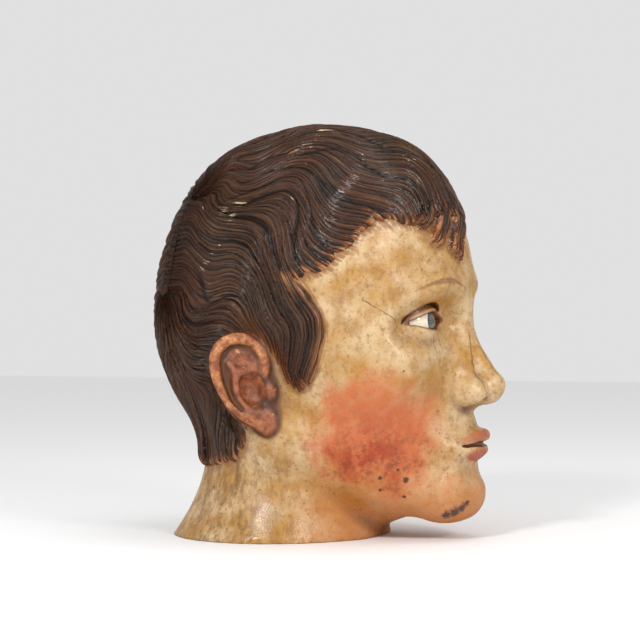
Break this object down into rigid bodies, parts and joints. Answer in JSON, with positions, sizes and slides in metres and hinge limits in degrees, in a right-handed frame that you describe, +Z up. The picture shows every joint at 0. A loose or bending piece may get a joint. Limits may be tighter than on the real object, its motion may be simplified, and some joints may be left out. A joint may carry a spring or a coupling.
{
  "type": "santos head",
  "caption": "Life-size carved and painted wooden head of a saint's figure with set-in glass eyes and short wavy carved hair, cut flat through the neck to stand as a bust.",
  "frame": {"origin": "on the flat underside, where the neck is cut, on the midline and 10 mm in front of the middle of the cut", "axes": "+Z up through the crown, -Y the way the face looks, +X the figure's left"},
  "size_m": [0.177, 0.2165, 0.2451],
  "materials": {
    "painted_wood": "aged glossy polychrome over gesso on wood",
    "eye_glass": "polished glass painted on the inside"
  },
  "bodies": {
    "root": {"head": "painted_wood", "glass_eye_right": "eye_glass", "glass_eye_left": "eye_glass"}
  },
  "joints": []
}
